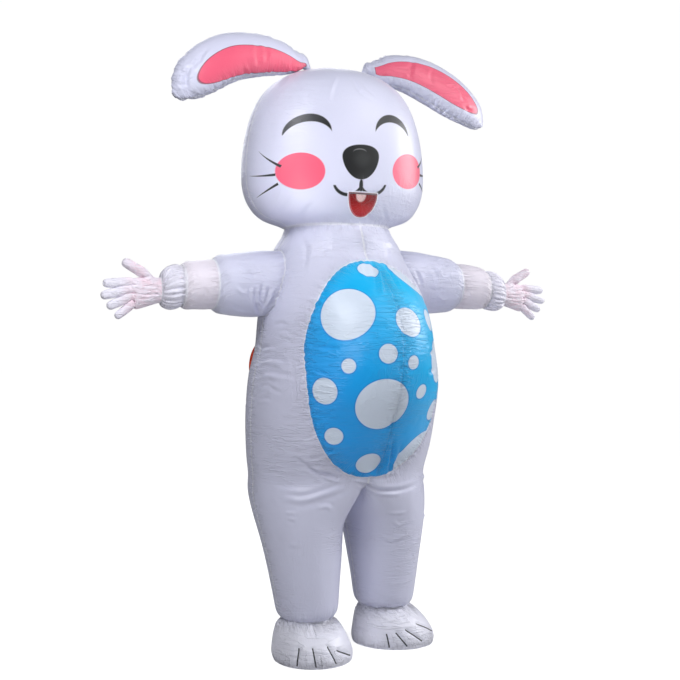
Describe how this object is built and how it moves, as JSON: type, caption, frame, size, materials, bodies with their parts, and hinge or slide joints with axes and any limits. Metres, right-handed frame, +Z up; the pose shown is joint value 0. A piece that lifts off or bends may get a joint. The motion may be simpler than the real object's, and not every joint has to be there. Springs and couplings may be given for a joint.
{
  "type": "inflatable rabbit costume",
  "caption": "Worn inflatable rabbit costume in white satin cloth with drooping ears, a spotted belly oval, gathered cuffs, gloves, paw covers, a back zip and a blower guard.",
  "frame": {"origin": "between the wearer's shoulders, on the costume's centre plane, 1.30 m above the floor", "axes": "+Z up; the costume's front faces -Y; its left arm points along +X"},
  "size_m": [1.5642, 0.6848, 1.9792],
  "materials": {
    "white_cloth": "satin woven polyester",
    "ear_cloth": "satin woven polyester with a pink print",
    "cuff_cloth": "gathered satin polyester",
    "spotted_cloth": "satin woven polyester printed with white spots",
    "glove_mesh": "thin sheer knit",
    "red_film": "see-through mesh",
    "orange_plastic": "moulded",
    "zip_metal": "painted",
    "zip_tape": "woven tape with a coil"
  },
  "bodies": {
    "root": {"belly_left": "spotted_cloth", "belly_right": "spotted_cloth", "body_back_left": "white_cloth", "body_back_right": "white_cloth", "body_front_left": "white_cloth", "body_front_right": "white_cloth", "cuff_left": "cuff_cloth", "cuff_right": "cuff_cloth", "ear_left_back": "white_cloth", "ear_left_front": "ear_cloth", "ear_right_back": "white_cloth", "ear_right_front": "ear_cloth", "fan_guard": "orange_plastic", "foot_left": "white_cloth", "foot_right": "white_cloth", "fore_sleeve_left": "white_cloth", "fore_sleeve_right": "white_cloth", "glove_left": "glove_mesh", "glove_right": "glove_mesh", "head_back": "white_cloth", "head_front": "white_cloth", "sleeve_left": "white_cloth", "sleeve_right": "white_cloth", "vision_window": "red_film", "zip_slider": "zip_metal", "zip_tape": "zip_tape"},
    "zip_pull": {"zip_pull": "zip_metal"}
  },
  "joints": [
    {"name": "zip_pull_swing", "type": "hinge", "parent": "root", "child": "zip_pull", "pos_m": [0, 0.20239, 0.00221], "axis": [1, 0, 0], "range_deg": [0, 165]}
  ]
}
